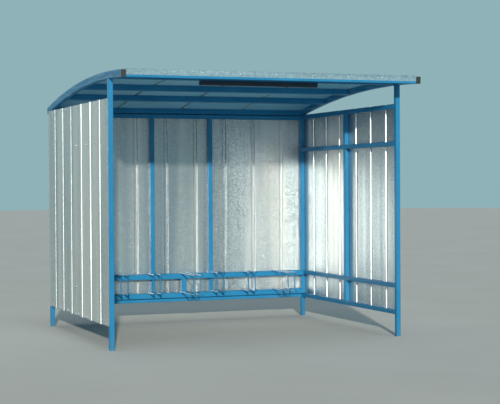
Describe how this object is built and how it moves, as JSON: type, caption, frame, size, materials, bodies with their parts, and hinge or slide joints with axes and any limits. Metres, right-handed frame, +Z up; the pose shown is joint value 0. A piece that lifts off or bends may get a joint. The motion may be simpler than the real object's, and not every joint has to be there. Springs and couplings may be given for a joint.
{
  "type": "bike shelter",
  "caption": "open-fronted bike shelter of blue square tube with ribbed galvanised walls, a shallow barrelled roof and a wheel rack of paired hoops along the back",
  "frame": {"origin": "on the ground, below the middle of the overall box", "axes": "+X right seen from the open front, +Y to the back wall, +Z up"},
  "size_m": [2.6566, 2.5948, 2.2646],
  "materials": {
    "blue_tube": "satin powder coat",
    "galvanised_sheet": "galvanised, spangled",
    "black_cap": "matt moulded",
    "lamp_grey": "matt"
  },
  "bodies": {
    "root": {"back_bottom_rail": "blue_tube", "back_left_sheet": "galvanised_sheet", "back_lower_rail": "blue_tube", "back_middle_sheet": "galvanised_sheet", "back_post_left": "blue_tube", "back_post_right": "blue_tube", "back_right_sheet": "galvanised_sheet", "back_top_rail": "blue_tube", "eaves_purlin": "blue_tube", "front_beam": "blue_tube", "front_flashing": "galvanised_sheet", "front_header": "blue_tube", "front_post_left": "blue_tube", "front_post_right": "blue_tube", "lamp_housing": "lamp_grey", "left_bottom_rail": "blue_tube", "left_front_sheet": "galvanised_sheet", "left_lower_rail": "blue_tube", "left_middle_post": "blue_tube", "left_rear_sheet": "galvanised_sheet", "left_top_rail": "blue_tube", "left_upper_rail": "blue_tube", "long_wheel_hoops": "blue_tube", "purlin_1": "blue_tube", "purlin_2": "blue_tube", "rack_lower_bar": "blue_tube", "rack_upper_bar": "blue_tube", "rack_upright": "blue_tube", "rafter_end_caps": "black_cap", "rafter_left": "blue_tube", "rafter_right": "blue_tube", "rear_post_left": "blue_tube", "rear_post_right": "blue_tube", "right_bottom_rail": "blue_tube", "right_front_sheet": "galvanised_sheet", "right_lower_rail": "blue_tube", "right_middle_post": "blue_tube", "right_rear_sheet": "galvanised_sheet", "right_top_rail": "blue_tube", "right_upper_rail": "blue_tube", "roof_sheet_1": "galvanised_sheet", "roof_sheet_2": "galvanised_sheet", "roof_sheet_3": "galvanised_sheet", "roof_sheet_4": "galvanised_sheet", "short_wheel_hoops": "blue_tube"}
  },
  "joints": []
}
